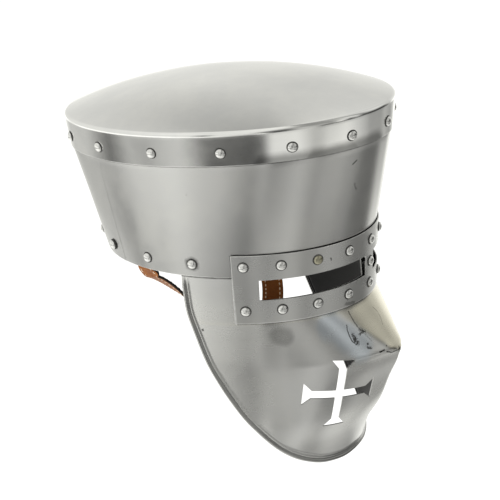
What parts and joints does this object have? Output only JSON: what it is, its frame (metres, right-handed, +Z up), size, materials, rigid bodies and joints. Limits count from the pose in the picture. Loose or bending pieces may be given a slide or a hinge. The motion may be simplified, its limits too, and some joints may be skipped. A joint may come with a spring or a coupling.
{
  "type": "templar helmet",
  "caption": "Great helm with a domed crown cap, flared riveted wall, eye band with sight slots, full face mask pierced with a flared cross, and a leather chin strap.",
  "frame": {"origin": "underside of the crown cap at its highest point, where the top of the head comes", "axes": "+Z up, face towards -Y, the wearer's right towards -X"},
  "size_m": [0.213, 0.3051, 0.3418],
  "materials": {
    "plate_steel": "satin ground sheet steel, plain black paint on the inside",
    "rivet_steel": "bright polished",
    "strap_leather": "orange-brown vegetable-tanned leather, stitched along both edges"
  },
  "bodies": {
    "root": {"crown_cap": "plate_steel", "skull_wall": "plate_steel", "eye_band": "plate_steel", "face_mask": "plate_steel", "chin_strap": "strap_leather", "cap_rivet_01": "rivet_steel", "cap_rivet_02": "rivet_steel", "cap_rivet_03": "rivet_steel", "cap_rivet_04": "rivet_steel", "cap_rivet_05": "rivet_steel", "cap_rivet_06": "rivet_steel", "cap_rivet_07": "rivet_steel", "cap_rivet_08": "rivet_steel", "cap_rivet_09": "rivet_steel", "cap_rivet_10": "rivet_steel", "cap_rivet_11": "rivet_steel", "cap_rivet_12": "rivet_steel", "cap_rivet_13": "rivet_steel", "cap_rivet_14": "rivet_steel", "cap_rivet_15": "rivet_steel", "rear_rivet_01": "rivet_steel", "rear_rivet_02": "rivet_steel", "rear_rivet_03": "rivet_steel", "rear_rivet_04": "rivet_steel", "rear_rivet_05": "rivet_steel", "rear_rivet_06": "rivet_steel", "rear_rivet_07": "rivet_steel", "rear_rivet_08": "rivet_steel", "rear_rivet_09": "rivet_steel", "band_rivet_01": "rivet_steel", "band_rivet_02": "rivet_steel", "band_rivet_03": "rivet_steel", "band_rivet_04": "rivet_steel", "band_rivet_05": "rivet_steel", "band_rivet_06": "rivet_steel", "band_rivet_07": "rivet_steel", "band_rivet_08": "rivet_steel", "band_rivet_09": "rivet_steel", "band_rivet_10": "rivet_steel", "band_rivet_11": "rivet_steel", "band_rivet_12": "rivet_steel", "band_rivet_13": "rivet_steel", "band_rivet_14": "rivet_steel", "band_rivet_15": "rivet_steel", "band_rivet_16": "rivet_steel", "band_rivet_17": "rivet_steel", "band_rivet_18": "rivet_steel", "band_rivet_19": "rivet_steel"}
  },
  "joints": []
}
